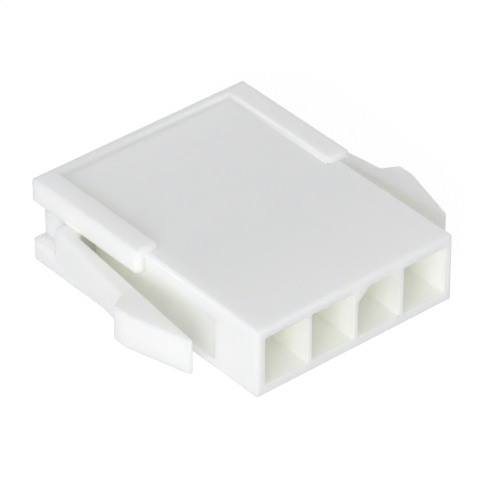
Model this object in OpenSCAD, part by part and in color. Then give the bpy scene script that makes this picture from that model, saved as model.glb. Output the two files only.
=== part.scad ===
// Plug housing for one row of crimped contacts, moulded in one piece.
// A snap ear on each side holds it in a panel cut-out, against the shoulder of its collar.
// X runs across the row, Y from the mating end to the wire end, Z up.
// The origin lies under the middle of the housing, on the plane that it rests on.

/* [Contact row] */
// Number of contact positions
circuits = 4; // [2:1:8]
// Distance from one contact to the next
pitch = 4.2; // [3.8:0.1:6]
// Wall between two neighbouring wells
partition_t = 0.4; // [0.3:0.05:0.7]
// Height of the mating wells
well_h = 3.95; // [3.6:0.05:6]
// Depth of a mating well
well_depth = 11.5; // [8:0.1:14]
// Web between a mating well and its wire pocket
web_t = 2.5; // [1.5:0.1:4]
// Side of the square passage through the web
passage_w = 2.8; // [2:0.1:3.2]
// Side of a square wire pocket
pocket_w = 3.4; // [3.3:0.05:3.5]
// Which well is polarised, counted from the left
polarised_way = 3; // [1:1:8]
// Chamfer on the two upper corners of the polarised well
polarising_chamfer = 1.05; // [0.5:0.05:1.6]

/* [Mating end] */
// Length of the mating end, up to the shoulder
mating_len = 12; // [10:0.5:16]
// Wall beside the outer wells
side_wall = 0.8; // [0.7:0.05:1.5]
// Wall under the wells
floor_wall = 0.9; // [0.6:0.05:1.5]
// Wall over the wells
roof_wall = 0.85; // [0.6:0.05:1.5]
// Radius of the outer edges
edge_r = 0.35; // [0.1:0.05:0.5]
// Radius of the corners of wells, passages and pockets
hole_r = 0.15; // [0.05:0.05:0.3]

/* [Collar] */
// Length of the collar, from the shoulder to the wire face
collar_len = 12; // [10:0.5:16]
// How far the collar stands out on each side
collar_step = 0.85; // [0.5:0.05:1.5]
// Height of the rim on top
rim_rise = 0.47; // [0.2:0.01:0.8]
// Width of the rim's side rails at their foot
rail_w = 2.1; // [1.6:0.1:3]
// Width of the rim's strip along the wire face, at its foot
strip_w = 0.95; // [0.6:0.05:2]
// How far the rim's inner walls lean back
rim_lean = 0.2; // [0:0.05:0.3]
// Depth of the skirts under the sides
skirt_drop = 1; // [0.9:0.05:1.5]
// Width of the skirts
skirt_w = 2; // [1.4:0.1:3]
// Width of the cross bar under the shoulder
cross_bar_w = 1; // [0.6:0.1:2]

/* [Snap ears] */
// Height of an ear
ear_h = 2.9; // [2:0.1:3.2]
// Room under an ear in its groove
room_below = 0.35; // [0.1:0.05:0.5]
// Room over an ear in its groove
room_above = 0.15; // [0.1:0.05:0.3]
// Lower edge of the groove above the underside of the mating end
groove_lift = 0.9; // [0.7:0.05:1.1]
// Depth of the groove in the side of the mating end
groove_bite = 0.3; // [0.1:0.05:0.4]
// Front end of the groove, from the mating face
groove_start = 4.65; // [3.5:0.05:6]
// Rear face of an ear, from the wire face
ear_setback = 3.7; // [2:0.1:5]
// Length of the root that joins an ear to the housing
root_len = 1.9; // [1.2:0.1:3]
// Fillet at the root
root_fillet = 0.4; // [0.1:0.05:0.5]
// Thickness of the arm at its root
arm_root_t = 0.85; // [0.7:0.05:1.2]
// Thickness of the arm at the foot of its catch
arm_foot_t = 1.25; // [0.8:0.05:1.5]
// Angle at which the arm stands off, in degrees
arm_flare = 5.5; // [3:0.1:8]
// Largest panel held between catch and shoulder
panel_gap = 1.6; // [1:0.1:2.5]
// How far the catch stands out of the arm
catch_rise = 1.25; // [0.8:0.05:2]
// Slope of the catch along the arm
catch_slope = 0.7; // [0.3:0.1:1]
// Flat land behind the catch
catch_land = 1.4; // [0.8:0.1:2.5]
// End of the ear, from the mating face
tip_inset = 3.8; // [2:0.1:4.5]
// Thickness of the rounded tip
tip_t = 0.45; // [0.3:0.05:0.7]

/* [Latch catch] */
// Width of the catch under the mating end
latch_w = 5; // [3:0.1:7]
// Height of the catch
latch_h = 0.75; // [0.4:0.05:0.85]
// Length of its ramp
latch_ramp = 2.8; // [1.5:0.1:4]
// Length of its flat top
latch_flat = 0.6; // [0.3:0.1:1.5]
// Start of the ramp, from the mating face
latch_setback = 1.4; // [0.5:0.1:3]

/* [Hidden] */
$fn = 48;
nylon = [0.93, 0.94, 0.9];

// How far pieces reach into each other, and cuts past a face
bite = 0.5;

well_w = pitch - partition_t;
well_mid = floor_wall + well_h / 2;
core_w = circuits * pitch - partition_t + 2 * side_wall;
core_h = floor_wall + well_h + roof_wall;
housing_len = mating_len + collar_len;
pocket_start = well_depth + web_t;
collar_w = core_w + 2 * collar_step;
collar_top = core_h + rim_rise;

groove_x = core_w / 2 - groove_bite;
ear_lift = groove_lift + room_below;
groove_high = ear_lift + ear_h + room_above;

root_back = housing_len - ear_setback;
root_front = root_back - root_len;
catch_y = mating_len - panel_gap;
foot_y = catch_y + catch_slope;
tip_r = tip_t / 2;
tip_y = tip_inset + tip_r;

// Inner face of an arm, as the distance from the middle plane at a place along the housing
function arm_inside(y) = collar_w / 2 + (root_back - y) * tan(arm_flare);

root_x = arm_inside(root_back) + arm_root_t;
foot_x = arm_inside(foot_y) + arm_foot_t;
catch_x = foot_x + catch_rise;
tip_x = arm_inside(tip_y) + tip_r;

// Rectangle from its low corner, with all four corners rounded
module rounded_rect(size, r) {
  translate([r, 0]) square([size.x - 2 * r, size.y]);
  translate([0, r]) square([size.x, size.y - 2 * r]);
  for (x = [r, size.x - r], y = [r, size.y - r])
    translate([x, y]) circle(r);
}

// The same, with the two corners at its far end square
module nosed_rect(size, r) {
  rounded_rect(size, r);
  translate([size.x / 2, 0]) square([size.x / 2, size.y]);
}

// Turns a drawing of Y and Z to stand across X, from x_low to x_high
module along_x(x_low, x_high) {
  translate([x_low, 0, 0])
    rotate([90, 0, 90])
      linear_extrude(x_high - x_low) children();
}

// Turns a drawing of X and Z to stand along Y, from y_low to y_high
module along_y(y_low, y_high) {
  translate([0, y_high, 0])
    rotate([90, 0, 0])
      linear_extrude(y_high - y_low) children();
}

module both_sides() {
  children();
  mirror([1, 0, 0]) children();
}

// Block that holds the contacts, with rounded edges on the mating end
module core() {
  intersection() {
    translate([core_w / 2, 0, 0])
      rotate([0, 0, 90])
        linear_extrude(core_h) nosed_rect([housing_len, core_w], edge_r);
    along_x(-core_w / 2, core_w / 2) nosed_rect([housing_len, core_h], edge_r);
    along_y(0, housing_len)
      translate([-core_w / 2, 0]) rounded_rect([core_w, core_h], edge_r);
  }
}

// Outer form of the collar, with all its edges rounded
module collar_envelope() {
  collar_h = collar_top + skirt_drop;
  intersection() {
    translate([-collar_w / 2, mating_len, -skirt_drop])
      linear_extrude(collar_h) rounded_rect([collar_w, collar_len], edge_r);
    along_x(-collar_w / 2, collar_w / 2)
      translate([mating_len, -skirt_drop]) rounded_rect([collar_len, collar_h], edge_r);
    along_y(mating_len, housing_len)
      translate([-collar_w / 2, -skirt_drop]) rounded_rect([collar_w, collar_h], edge_r);
  }
}

// Side rail of the rim, with a leaning inner wall and a round inner corner at the shoulder
module side_rail() {
  in_x = collar_w / 2 - rail_w;
  out_x = collar_w / 2 + bite;
  intersection() {
    along_y(mating_len, housing_len)
      polygon([
        [in_x, ear_lift],
        [in_x, core_h],
        [in_x + rim_lean, collar_top],
        [out_x, collar_top],
        [out_x, ear_lift]
      ]);
    translate([in_x, mating_len, 0])
      linear_extrude(collar_top) nosed_corner([out_x - in_x, collar_len], edge_r);
  }
}

// Rectangle with its low corner rounded
module nosed_corner(size, r) {
  translate([r, 0]) square([size.x - r, size.y]);
  translate([0, r]) square([size.x, size.y - r]);
  translate([r, r]) circle(r);
}

// Strip of the rim along the wire face
module rear_strip() {
  in_y = housing_len - strip_w;
  along_x(-collar_w / 2, collar_w / 2)
    polygon([
      [in_y, core_h - bite],
      [in_y, core_h],
      [in_y + rim_lean, collar_top],
      [housing_len, collar_top],
      [housing_len, core_h - bite]
    ]);
}

// Skirt under one side
module side_skirt() {
  translate([collar_w / 2 - skirt_w, mating_len, -skirt_drop])
    cube([skirt_w, collar_len, skirt_drop + ear_lift + bite]);
}

// Bar under the shoulder, which meets the panel along its lower edge
module cross_bar() {
  translate([-collar_w / 2, mating_len, -skirt_drop])
    cube([collar_w, cross_bar_w, skirt_drop + bite]);
}

module collar() {
  intersection() {
    collar_envelope();
    union() {
      both_sides() {
        side_rail();
        side_skirt();
      }
      rear_strip();
      cross_bar();
    }
  }
}

// Groove along one side, which an ear springs into
module side_groove() {
  translate([groove_x, groove_start, groove_lift])
    cube([collar_w, housing_len, groove_high - groove_lift]);
}

// Plan of an ear: root, arm, sloping catch, land, ramp and rounded tip
module ear_plan() {
  polygon([
    [arm_inside(root_back), root_back],
    [root_x, root_back],
    [foot_x, foot_y],
    [catch_x, catch_y],
    [catch_x, catch_y - catch_land],
    [tip_x + tip_r, tip_y],
    [tip_x - tip_r, tip_y]
  ]);
  translate([tip_x, tip_y]) circle(tip_r);
  root_plan();
}

// Root of an ear, with a fillet in both of its inner corners
module root_plan() {
  slot_w = arm_inside(root_front) - groove_x;
  slot_len = 3 * root_fillet;
  difference() {
    translate([groove_x - groove_bite, root_front - root_fillet])
      square([slot_w + groove_bite + arm_root_t / 2, root_len + root_fillet]);
    translate([groove_x, root_front - slot_len]) rounded_rect([slot_w, slot_len], root_fillet);
  }
}

module snap_ear() {
  translate([0, 0, ear_lift]) linear_extrude(ear_h) ear_plan();
}

// Wedge that the mating half's latch rides over and locks behind
module latch_catch() {
  flat_start = latch_setback + latch_ramp;
  catch_face = flat_start + latch_flat;
  along_x(-latch_w / 2, latch_w / 2)
    polygon([
      [latch_setback, 0],
      [flat_start, -latch_h],
      [catch_face, -latch_h],
      [catch_face, bite],
      [latch_setback, bite]
    ]);
}

// Square hole with rounded corners, about the middle of a contact
module square_hole(w, h) {
  translate([-w / 2, well_mid - h / 2]) rounded_rect([w, h], hole_r);
}

// Section of a polarised well, with both upper corners cut off
module chamfered_hole() {
  half = well_w / 2 + hole_r;
  low = floor_wall - hole_r;
  top = floor_wall + well_h + hole_r;
  cut = polarising_chamfer + 2 * hole_r;
  intersection() {
    square_hole(well_w, well_h);
    polygon([
      [-half, low],
      [half, low],
      [half, top - cut],
      [half - cut, top],
      [-half + cut, top],
      [-half, top - cut]
    ]);
  }
}

// Mating well, open at the mating face
module well(polarised) {
  along_y(-bite, well_depth)
    if (polarised)
      chamfered_hole();
    else
      square_hole(well_w, well_h);
}

// Way of one contact behind its well: passage and wire pocket
module contact_way() {
  along_y(well_depth - bite, pocket_start + bite) square_hole(passage_w, passage_w);
  along_y(pocket_start, housing_len + bite) square_hole(pocket_w, pocket_w);
}

module contact_row() {
  for (i = [1 : circuits])
    translate([(i - (circuits + 1) / 2) * pitch, 0, 0]) {
      well(i == polarised_way);
      contact_way();
    }
}

module housing() {
  color(nylon)
    translate([0, -housing_len / 2, skirt_drop])
      difference() {
        union() {
          difference() {
            union() {
              core();
              collar();
            }
            both_sides() side_groove();
          }
          both_sides() snap_ear();
          latch_catch();
        }
        contact_row();
      }
}

housing();
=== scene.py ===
"""Looks of a moulded nylon plug housing, laid out as a Blender add-on and run as a script."""

import math

import bmesh
import bpy
from bpy.props import FloatProperty, FloatVectorProperty, IntProperty, PointerProperty
from mathutils import Matrix, Vector


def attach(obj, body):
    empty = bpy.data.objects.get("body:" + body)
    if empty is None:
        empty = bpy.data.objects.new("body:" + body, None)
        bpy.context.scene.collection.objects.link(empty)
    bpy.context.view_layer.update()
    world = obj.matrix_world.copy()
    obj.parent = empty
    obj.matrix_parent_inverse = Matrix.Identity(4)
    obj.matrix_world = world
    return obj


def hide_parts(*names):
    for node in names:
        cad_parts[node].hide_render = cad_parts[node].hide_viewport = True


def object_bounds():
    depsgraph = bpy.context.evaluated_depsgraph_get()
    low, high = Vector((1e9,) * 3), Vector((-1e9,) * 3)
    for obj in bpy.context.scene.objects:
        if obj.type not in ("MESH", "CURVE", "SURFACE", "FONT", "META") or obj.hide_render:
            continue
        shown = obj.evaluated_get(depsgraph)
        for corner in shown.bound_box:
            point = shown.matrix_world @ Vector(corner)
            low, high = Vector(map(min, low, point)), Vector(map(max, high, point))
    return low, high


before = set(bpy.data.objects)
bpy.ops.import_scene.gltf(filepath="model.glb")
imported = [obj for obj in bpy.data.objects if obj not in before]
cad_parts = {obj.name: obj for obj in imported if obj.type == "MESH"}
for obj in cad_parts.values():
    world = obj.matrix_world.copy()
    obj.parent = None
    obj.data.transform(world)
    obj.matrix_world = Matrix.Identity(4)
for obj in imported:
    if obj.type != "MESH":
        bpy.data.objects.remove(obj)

bl_info = {
    "name": "Plug Housing Looks",
    "version": (1, 0, 0),
    "blender": (4, 5, 0),
    "location": "View3D > Sidebar > Plug Housing",
    "description": "Finishes a moulded nylon plug housing and sets it on a plain studio stage",
    "category": "Object",
}

NODE = "housing"
BODY = "root"
CAD_LOW, CAD_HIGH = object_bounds()

MM = 0.001
# Corners of the frame's loose triangles that lie this close are one corner
MERGE_DISTANCE = 0.002 * MM
# Corners of the rounded shape that lie this close are one corner
SLIVER_DISTANCE = 0.0001 * MM
# Faces that turn less than this lie in one plane, and edges that turn more are sharp
FLAT_ANGLE = math.radians(1)
SHARP_ANGLE = math.radians(35)
# An ear lies past the collar's side, and its root stands in the groove
COLLAR_SIDE = 9.9 * MM
GROOVE_FLOOR = 8.72 * MM
ROOT_START = 5.9 * MM
EAR_LOW, EAR_HIGH = 2.2 * MM, 5.2 * MM
# The fillets between an arm, its root and the groove stay as the frame has them
FILLET_START, FILLET_END = 5.95 * MM, 6.5 * MM
FILLET_SIDE = 10.1 * MM
# The ways of the contacts: half the row's width, its height, and the depth of its mouths
ROW_HALF = 8.25 * MM
ROW_LOW, ROW_HIGH = 1.85 * MM, 5.9 * MM
MOUTH_DEPTH = 0.3 * MM

# How nylon mirrors light, and the shares of its scatter for red, green and blue
NYLON_IOR = 1.53
NYLON_SPECULAR = 0.25
SCATTER_SHARES = (1.0, 0.95, 0.75)
# Size of the faint clouds in the moulding, and how much its grain shows
CLOUD_SIZE = 4 * MM
GRAIN_STRENGTH = 0.4
# Skin that the mould leaves outside, and the smoother one in wells and pockets
SATIN_SKIN = {"roughness": (0.42, 0.52), "grain_size": 0.12 * MM, "grain_depth": 0.02 * MM}
SMOOTH_SKIN = {"roughness": (0.3, 0.38), "grain_size": 0.2 * MM, "grain_depth": 0.01 * MM}

WHITE = (1.0, 1.0, 1.0, 1.0)
# The pale walls of wells and grooves pass light on many times
LIGHT_BOUNCES = 64
# Soft lights: distance and size in metres, then azimuth and elevation of each
LIGHT_DISTANCE = 0.6
LIGHT_WIDTH, LIGHT_HEIGHT = 0.35, 0.3
KEY_PLACE = math.radians(-55), math.radians(18)
SIDE_PLACE = math.radians(100), math.radians(16)
# The floor's radius is this many times half the housing's width
FLOOR_REACH = 20
FLOOR_CORNERS = 64
# The floor to the camera: a colour that takes the shadow, and a glow that keeps it near white
SEEN_COLOUR = (0.25, 0.25, 0.25)
SEEN_GLOW = 0.84
# The camera shows what lies between these distances
CLIP_START, CLIP_END = 10 * MM, 10000 * MM
# Spacing of nodes that stand in a row
NODE_STEP = 200


class HousingLook(bpy.types.PropertyGroup):
    """Edges and finish of the housing."""

    ear_radius: FloatProperty(
        name="Ear edges", description="Radius along the edges of the snap ears",
        default=0.2 * MM, min=0.0, max=0.22 * MM, precision=6, unit="LENGTH")
    trim_radius: FloatProperty(
        name="Trim edges", description="Radius along rails, skirts and grooves",
        default=0.1 * MM, min=0.0, max=0.14 * MM, precision=6, unit="LENGTH")
    mouth_radius: FloatProperty(
        name="Mouth edges", description="Radius round the mouths of pockets and wells",
        default=0.05 * MM, min=0.0, max=0.07 * MM, precision=6, unit="LENGTH")
    edge_segments: IntProperty(
        name="Edge segments", description="Faces across a rounded edge", default=4, min=1, max=8)
    bright_colour: FloatVectorProperty(
        name="Bright nylon", description="Colour of the thick walls", subtype="COLOR",
        default=(0.993, 0.996, 0.95), min=0.0, max=1.0)
    cloud_colour: FloatVectorProperty(
        name="Clouded nylon", description="Colour of the faint clouds in the moulding", subtype="COLOR",
        default=(0.989, 0.993, 0.94), min=0.0, max=1.0)
    scatter_length: FloatProperty(
        name="Scatter", description="How far light runs inside the nylon",
        default=1.5 * MM, min=0.0, max=4 * MM, precision=6, unit="LENGTH")


class StageSetup(bpy.types.PropertyGroup):
    """Camera, floor and light of the stage."""

    camera_azimuth: FloatProperty(
        name="Azimuth", description="Turn of the camera round the housing",
        default=math.radians(-39.715), subtype="ANGLE")
    camera_elevation: FloatProperty(
        name="Elevation", description="Height of the camera above the horizon",
        default=math.radians(35.728), subtype="ANGLE")
    camera_roll: FloatProperty(
        name="Roll", description="Turn of the picture", default=math.radians(-0.239), subtype="ANGLE")
    camera_distance: FloatProperty(
        name="Distance", description="Camera to the point that it aims at",
        default=303.277 * MM, min=0.05, max=2.0, precision=5, unit="LENGTH")
    camera_aim: FloatVectorProperty(
        name="Aim", description="Point in the middle of the picture", subtype="XYZ", unit="LENGTH",
        default=(-3.357 * MM, -3.481 * MM, 7.211 * MM), precision=6)
    lens: FloatProperty(
        name="Lens", description="Focal length on a 36 mm sensor, in millimetres",
        default=326.87, min=20.0, max=800.0)
    sky_level: FloatProperty(
        name="Sky", description="Light from all round", default=0.56, min=0.0, max=2.0)
    sky_colour: FloatVectorProperty(
        name="Sky colour", description="Colour of the sky and of the soft lights", subtype="COLOR",
        default=(0.985, 0.99, 1.0), min=0.0, max=1.0)
    key_level: FloatProperty(
        name="Key light", description="Power of the low soft light at the front left, in watts",
        default=1.8, min=0.0, max=20.0)
    side_level: FloatProperty(
        name="Side light", description="Power of the low soft light at the right, in watts",
        default=0.4, min=0.0, max=20.0)
    floor_colour: FloatVectorProperty(
        name="Floor", description="Colour of the floor", subtype="COLOR",
        default=(0.6, 0.6, 0.6), min=0.0, max=1.0)
    floor_glow: FloatProperty(
        name="Floor glow", description="Light that comes up through the floor",
        default=0.14, min=0.0, max=1.0)


def add_node(tree, kind, place, **sockets):
    """A new node at a place in the tree, with plain values on its named inputs."""
    made = tree.nodes.new(kind)
    made.location = place
    for name, value in sockets.items():
        made.inputs[name].default_value = value
    return made


def moulded_skin_group():
    """Shader group: faint clouds, changing gloss and the fine grain of a moulded face."""
    tree = bpy.data.node_groups.new("moulded_skin", "ShaderNodeTree")
    new_socket = tree.interface.new_socket
    new_socket("Vector", in_out="INPUT", socket_type="NodeSocketVector")
    for name in ("Bright", "Cloud"):
        new_socket(name, in_out="INPUT", socket_type="NodeSocketColor")
    for name in ("Cloud Scale", "Grain Scale", "Roughness Low", "Roughness High"):
        new_socket(name, in_out="INPUT", socket_type="NodeSocketFloat")
    new_socket("Colour", in_out="OUTPUT", socket_type="NodeSocketColor")
    for name in ("Roughness", "Height"):
        new_socket(name, in_out="OUTPUT", socket_type="NodeSocketFloat")
    link = tree.links.new

    given = add_node(tree, "NodeGroupInput", (-700, 0))
    result = add_node(tree, "NodeGroupOutput", (500, 0))

    clouds = add_node(tree, "ShaderNodeTexNoise", (-450, 250), Detail=3.0, Roughness=0.55)
    link(given.outputs["Vector"], clouds.inputs["Vector"])
    link(given.outputs["Cloud Scale"], clouds.inputs["Scale"])
    tint = add_node(tree, "ShaderNodeMix", (-200, 250))
    tint.data_type = "RGBA"
    first_colour, second_colour = (socket for socket in tint.inputs if socket.type == "RGBA")
    mixed_colour = next(socket for socket in tint.outputs if socket.type == "RGBA")
    link(clouds.outputs["Fac"], tint.inputs["Factor"])
    link(given.outputs["Cloud"], first_colour)
    link(given.outputs["Bright"], second_colour)
    link(mixed_colour, result.inputs["Colour"])

    gloss = add_node(tree, "ShaderNodeMapRange", (-200, 0))
    link(clouds.outputs["Fac"], gloss.inputs["Value"])
    link(given.outputs["Roughness Low"], gloss.inputs["To Min"])
    link(given.outputs["Roughness High"], gloss.inputs["To Max"])
    link(gloss.outputs["Result"], result.inputs["Roughness"])

    grain = add_node(tree, "ShaderNodeTexNoise", (-450, -250), Detail=2.0, Roughness=0.5)
    link(given.outputs["Vector"], grain.inputs["Vector"])
    link(given.outputs["Grain Scale"], grain.inputs["Scale"])
    link(grain.outputs["Fac"], result.inputs["Height"])
    return tree


def nylon_material(name, skin, look, roughness, grain_size, grain_depth):
    """Natural nylon: milky, satin, and with the skin that the mould left on it."""
    made = bpy.data.materials.new(name)
    made.use_nodes = True
    tree = made.node_tree
    link = tree.links.new
    shader = tree.nodes["Principled BSDF"]
    shader.inputs["IOR"].default_value = NYLON_IOR
    shader.inputs["Specular IOR Level"].default_value = NYLON_SPECULAR
    shader.inputs["Subsurface Weight"].default_value = 1.0
    shader.inputs["Subsurface Radius"].default_value = SCATTER_SHARES
    shader.inputs["Subsurface Scale"].default_value = look.scatter_length

    place = add_node(tree, "ShaderNodeTexCoord", (-900, 0))
    group = add_node(tree, "ShaderNodeGroup", (-650, 0))
    group.node_tree = skin
    group.inputs["Bright"].default_value = (*look.bright_colour, 1.0)
    group.inputs["Cloud"].default_value = (*look.cloud_colour, 1.0)
    group.inputs["Cloud Scale"].default_value = 1 / CLOUD_SIZE
    group.inputs["Grain Scale"].default_value = 1 / grain_size
    group.inputs["Roughness Low"].default_value = roughness[0]
    group.inputs["Roughness High"].default_value = roughness[1]
    link(place.outputs["Object"], group.inputs["Vector"])
    link(group.outputs["Colour"], shader.inputs["Base Color"])
    link(group.outputs["Roughness"], shader.inputs["Roughness"])

    bump = add_node(
        tree, "ShaderNodeBump", (-300, -250), Strength=GRAIN_STRENGTH, Distance=grain_depth)
    link(group.outputs["Height"], bump.inputs["Height"])
    link(bump.outputs["Normal"], shader.inputs["Normal"])
    return made


def on_ear(point):
    """True for a point of a snap ear or of its root."""
    on_root = point.y > ROOT_START and EAR_LOW < point.z < EAR_HIGH
    return abs(point.x) > (GROOVE_FLOOR if on_root else COLLAR_SIDE)


def in_fillet(point):
    """True for a point of the fillets between an ear's arm, its root and the groove."""
    at_height = EAR_LOW < point.z < EAR_HIGH
    return at_height and FILLET_START < point.y < FILLET_END and abs(point.x) < FILLET_SIDE


def in_row(point):
    """True for a point of the pockets, passages and wells."""
    return abs(point.x) < ROW_HALF and ROW_LOW < point.z < ROW_HIGH


def past_mouth(point):
    """True for a point that lies deeper than the mouths at both ends."""
    return min(point.y - CAD_LOW.y, CAD_HIGH.y - point.y) > MOUTH_DEPTH


def edge_radius(edge, look):
    """Radius that the mould gives this edge, or 0 where it stays as it is."""
    if not edge.is_convex or edge.calc_face_angle() < SHARP_ANGLE:
        return 0.0
    middle = (edge.verts[0].co + edge.verts[1].co) / 2
    if in_fillet(middle):
        return 0.0
    if in_row(middle):
        return 0.0 if past_mouth(middle) else look.mouth_radius
    return look.ear_radius if on_ear(middle) else look.trim_radius


def housing_mesh(look):
    """Copy of the frame's housing with whole faces, radii marked on its edges, and the widest."""
    shape = bmesh.new()
    shape.from_mesh(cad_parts[NODE].data)
    bmesh.ops.remove_doubles(shape, verts=shape.verts, dist=MERGE_DISTANCE)
    bmesh.ops.dissolve_limit(
        shape, angle_limit=FLAT_ANGLE, verts=shape.verts, edges=shape.edges)
    widest = max(look.ear_radius, look.trim_radius, look.mouth_radius)
    weight = shape.edges.layers.float.new("bevel_weight_edge")
    for edge in shape.edges:
        edge[weight] = edge_radius(edge, look) / widest
    for face in shape.faces:
        face.smooth = True
    mesh = bpy.data.meshes.new("nylon_housing")
    shape.to_mesh(mesh)
    shape.free()
    return mesh, widest


def apply_modifiers(piece):
    """Turns what the modifiers make into the piece's own mesh."""
    graph = bpy.context.evaluated_depsgraph_get()
    mesh = bpy.data.meshes.new_from_object(piece.evaluated_get(graph))
    piece.modifiers.clear()
    piece.data = mesh


def close_slivers(mesh):
    """Joins the corners that rounding leaves side by side at the feet of the rails."""
    shape = bmesh.new()
    shape.from_mesh(mesh)
    bmesh.ops.remove_doubles(shape, verts=shape.verts, dist=SLIVER_DISTANCE)
    bmesh.ops.dissolve_degenerate(shape, edges=shape.edges, dist=SLIVER_DISTANCE)
    shape.to_mesh(mesh)
    shape.free()


class PLUG_OT_mould_housing(bpy.types.Operator):
    """Make the nylon housing over its frame node"""

    bl_idname = "plug.mould_housing"
    bl_label = "Mould Housing"

    def execute(self, context):
        look = context.scene.plug_look
        mesh, widest = housing_mesh(look)
        piece = bpy.data.objects.new("nylon_housing", mesh)
        context.scene.collection.objects.link(piece)
        bevel = piece.modifiers.new("rounded_edges", "BEVEL")
        bevel.limit_method = "WEIGHT"
        bevel.width = widest
        bevel.segments = look.edge_segments
        bevel.use_clamp_overlap = False
        bevel.miter_outer = "MITER_ARC"
        apply_modifiers(piece)
        close_slivers(piece.data)
        normals = piece.modifiers.new("flat_faces", "WEIGHTED_NORMAL")
        normals.keep_sharp = False
        apply_modifiers(piece)

        skin = moulded_skin_group()
        finishes = piece.data.materials
        finishes.clear()
        finishes.append(nylon_material("satin_nylon", skin, look, **SATIN_SKIN))
        finishes.append(nylon_material("smooth_nylon", skin, look, **SMOOTH_SKIN))
        for face in piece.data.polygons:
            face.material_index = int(in_row(face.center) and past_mouth(face.center))
        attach(piece, BODY)
        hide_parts(NODE)
        return {"FINISHED"}


def white_to_camera(tree, left, height):
    """Light Path value that is 1 for what the camera, a gloss or a clear wall looks at."""
    path = add_node(tree, "ShaderNodeLightPath", (left, height))
    largest = path.outputs["Is Camera Ray"]
    for name in ("Is Glossy Ray", "Is Transmission Ray"):
        left += NODE_STEP
        larger = add_node(tree, "ShaderNodeMath", (left, height))
        larger.operation = "MAXIMUM"
        tree.links.new(largest, larger.inputs[0])
        tree.links.new(path.outputs[name], larger.inputs[1])
        largest = larger.outputs["Value"]
    return largest


def make_sky(setup):
    """Even light from all round, which looks white behind the housing."""
    world = bpy.data.worlds.new("studio")
    world.use_nodes = True
    tree = world.node_tree
    tree.nodes.clear()
    link = tree.links.new
    light = add_node(
        tree, "ShaderNodeBackground", (0, 100),
        Color=(*setup.sky_colour, 1.0), Strength=setup.sky_level)
    white = add_node(tree, "ShaderNodeBackground", (0, -100), Color=WHITE, Strength=1.0)
    mix = add_node(tree, "ShaderNodeMixShader", (250, 0))
    out = add_node(tree, "ShaderNodeOutputWorld", (450, 0))
    link(white_to_camera(tree, -700, 300), mix.inputs["Fac"])
    link(light.outputs["Background"], mix.inputs[1])
    link(white.outputs["Background"], mix.inputs[2])
    link(mix.outputs["Shader"], out.inputs["Surface"])
    bpy.context.scene.world = world


def glowing_matt(tree, height, colour, glow):
    """Shader of a matt face that gives off some light of its own."""
    matt = add_node(tree, "ShaderNodeBsdfDiffuse", (-200, height + 150), Color=(*colour, 1.0))
    lamp = add_node(tree, "ShaderNodeEmission", (-200, height), Strength=glow)
    both = add_node(tree, "ShaderNodeAddShader", (0, height))
    tree.links.new(matt.outputs["BSDF"], both.inputs[0])
    tree.links.new(lamp.outputs["Emission"], both.inputs[1])
    return both.outputs["Shader"]


def floor_material(setup):
    """Pale floor that looks white, with a faint shadow, and is clear from below."""
    made = bpy.data.materials.new("pale_floor")
    made.use_nodes = True
    tree = made.node_tree
    tree.nodes.clear()
    link = tree.links.new
    above = add_node(tree, "ShaderNodeMixShader", (200, 100))
    link(white_to_camera(tree, -700, 400), above.inputs["Fac"])
    link(glowing_matt(tree, 150, setup.floor_colour, setup.floor_glow), above.inputs[1])
    link(glowing_matt(tree, -150, SEEN_COLOUR, SEEN_GLOW), above.inputs[2])
    below = add_node(tree, "ShaderNodeBsdfTransparent", (200, -150))
    side = add_node(tree, "ShaderNodeNewGeometry", (200, 350))
    mix = add_node(tree, "ShaderNodeMixShader", (400, 0))
    link(side.outputs["Backfacing"], mix.inputs["Fac"])
    link(above.outputs["Shader"], mix.inputs[1])
    link(below.outputs["BSDF"], mix.inputs[2])
    out = add_node(tree, "ShaderNodeOutputMaterial", (600, 0))
    link(mix.outputs["Shader"], out.inputs["Surface"])
    return made


def make_floor(setup):
    """Round floor under the housing."""
    shape = bmesh.new()
    bmesh.ops.create_circle(
        shape, cap_ends=True, segments=FLOOR_CORNERS, radius=FLOOR_REACH * CAD_HIGH.x)
    mesh = bpy.data.meshes.new("floor")
    shape.to_mesh(mesh)
    shape.free()
    mesh.materials.append(floor_material(setup))
    floor = bpy.data.objects.new("floor", mesh)
    floor.location.z = CAD_LOW.z
    bpy.context.scene.collection.objects.link(floor)


def direction(azimuth, elevation):
    """Unit vector from the housing to a place round it; azimuth 0 is in front of the mating end."""
    return Vector((
        math.sin(azimuth) * math.cos(elevation),
        -math.cos(azimuth) * math.cos(elevation),
        math.sin(elevation)))


def soft_light(name, place, power, colour):
    """Wide soft light that shines on the housing from a place round it."""
    towards = direction(*place)
    lamp = bpy.data.lights.new(name, "AREA")
    lamp.shape = "RECTANGLE"
    lamp.size = LIGHT_WIDTH
    lamp.size_y = LIGHT_HEIGHT
    lamp.energy = power
    lamp.color = colour
    made = bpy.data.objects.new(name, lamp)
    made.location = (CAD_LOW + CAD_HIGH) / 2 + towards * LIGHT_DISTANCE
    made.rotation_mode = "QUATERNION"
    made.rotation_quaternion = (-towards).to_track_quat("-Z", "Y")
    bpy.context.scene.collection.objects.link(made)


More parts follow.
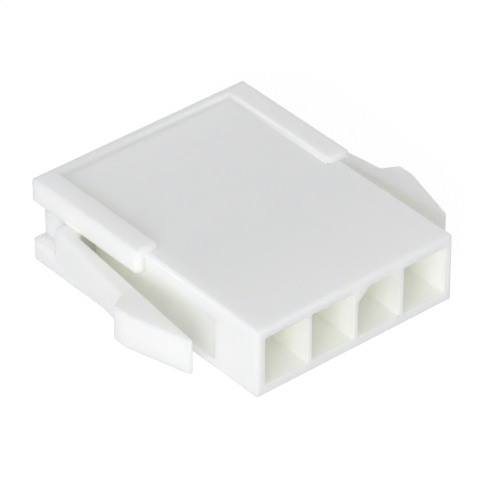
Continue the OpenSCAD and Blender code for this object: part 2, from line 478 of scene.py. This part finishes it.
def make_camera(setup):
    """Camera at the picture's angle."""
    back = direction(setup.camera_azimuth, setup.camera_elevation)
    right = Vector((math.cos(setup.camera_azimuth), math.sin(setup.camera_azimuth), 0.0))
    up = back.cross(right)
    level = Matrix((right, up, back)).transposed()
    turn = level @ Matrix.Rotation(setup.camera_roll, 3, "Z")
    data = bpy.data.cameras.new("camera")
    data.lens = setup.lens
    data.clip_start = CLIP_START
    data.clip_end = CLIP_END
    camera = bpy.data.objects.new("camera", data)
    camera.rotation_mode = "QUATERNION"
    camera.rotation_quaternion = turn.to_quaternion()
    camera.location = Vector(setup.camera_aim) + back * setup.camera_distance
    bpy.context.scene.collection.objects.link(camera)
    bpy.context.scene.camera = camera


class PLUG_OT_set_stage(bpy.types.Operator):
    """Set the floor, the light and the camera"""

    bl_idname = "plug.set_stage"
    bl_label = "Set Stage"

    def execute(self, context):
        setup = context.scene.plug_stage
        context.scene.view_settings.view_transform = "Standard"
        context.scene.cycles.diffuse_bounces = LIGHT_BOUNCES
        context.scene.cycles.max_bounces = LIGHT_BOUNCES
        make_sky(setup)
        make_floor(setup)
        soft_light("key_light", KEY_PLACE, setup.key_level, setup.sky_colour)
        soft_light("side_light", SIDE_PLACE, setup.side_level, setup.sky_colour)
        make_camera(setup)
        return {"FINISHED"}


class PLUG_PT_looks(bpy.types.Panel):
    """Sizes, colours and steps of the plug housing"""

    bl_idname = "PLUG_PT_looks"
    bl_label = "Plug Housing"
    bl_space_type = "VIEW_3D"
    bl_region_type = "UI"
    bl_category = "Plug Housing"

    def draw(self, context):
        for step, settings in (
            (PLUG_OT_mould_housing, context.scene.plug_look),
            (PLUG_OT_set_stage, context.scene.plug_stage),
        ):
            box = self.layout.box()
            for name in settings.__annotations__:
                box.prop(settings, name)
            box.operator(step.bl_idname)


CLASSES = (HousingLook, StageSetup, PLUG_OT_mould_housing, PLUG_OT_set_stage, PLUG_PT_looks)


def register():
    """Adds the classes, and their settings to the scene."""
    for kind in CLASSES:
        bpy.utils.register_class(kind)
    bpy.types.Scene.plug_look = PointerProperty(type=HousingLook)
    bpy.types.Scene.plug_stage = PointerProperty(type=StageSetup)


def unregister():
    """Takes away what register adds."""
    del bpy.types.Scene.plug_stage
    del bpy.types.Scene.plug_look
    for kind in reversed(CLASSES):
        bpy.utils.unregister_class(kind)


def main():
    """Makes the housing and its stage."""
    register()
    bpy.ops.plug.mould_housing()
    bpy.ops.plug.set_stage()


if __name__ == "__main__":
    main()
